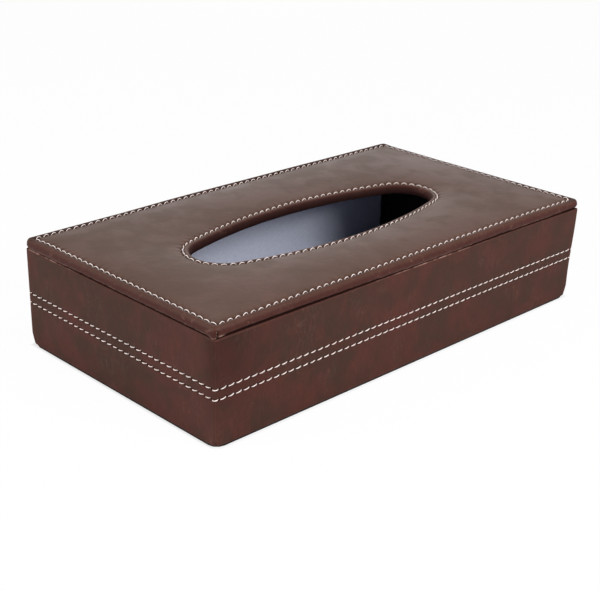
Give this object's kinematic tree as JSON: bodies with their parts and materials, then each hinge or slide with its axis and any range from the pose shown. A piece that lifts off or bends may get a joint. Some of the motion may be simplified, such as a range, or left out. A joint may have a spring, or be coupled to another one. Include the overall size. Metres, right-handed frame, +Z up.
{
  "type": "tissue box",
  "caption": "Flat leather-wrapped tissue box with a padded flip lid, an oval opening in the lid and contrast stitching.",
  "frame": {"origin": "middle of the underside, on the surface that the box stands on", "axes": "+X along the long front side, towards the viewer's right; +Y from the front to the hinge side; +Z up"},
  "size_m": [0.2506, 0.1402, 0.056],
  "materials": {
    "side_leather": "dark reddish brown waxed leather, faint vertical streaks, semi-matt",
    "lid_leather": "greyer brown waxed leather, soft sheen, padded",
    "fibreboard": "bare medium-density fibreboard, hidden",
    "padding": "thin foam sheet, hidden",
    "lining": "pale blue-grey smooth lining cloth, matt",
    "end_lining": "near-black lining cloth on the two end walls, matt",
    "thread": "cream waxed thread, three plies, in the sewn seams",
    "base_sheet": "black non-slip felt; its edge shows as a thin black line under the leather",
    "magnet": "nickel plated, hidden"
  },
  "bodies": {
    "box": {"base_board": "fibreboard", "front_board": "fibreboard", "back_board": "fibreboard", "left_board": "fibreboard", "right_board": "fibreboard", "side_wrap": "side_leather", "hinge_strip": "side_leather", "floor_lining": "lining", "front_lining": "lining", "back_lining": "lining", "left_lining": "end_lining", "right_lining": "end_lining", "base_cover": "base_sheet", "box_magnets": "magnet"},
    "lid": {"lid_board": "fibreboard", "lid_padding": "padding", "lid_leather": "lid_leather", "lid_lining": "lining", "lid_magnets": "magnet"}
  },
  "joints": [
    {"name": "lid_hinge", "type": "hinge", "parent": "box", "child": "lid", "pos_m": [0, 0.0704, 0.051], "axis": [-1, 0, 0], "range_deg": [0, 180], "deforming": ["hinge_strip"]}
  ]
}
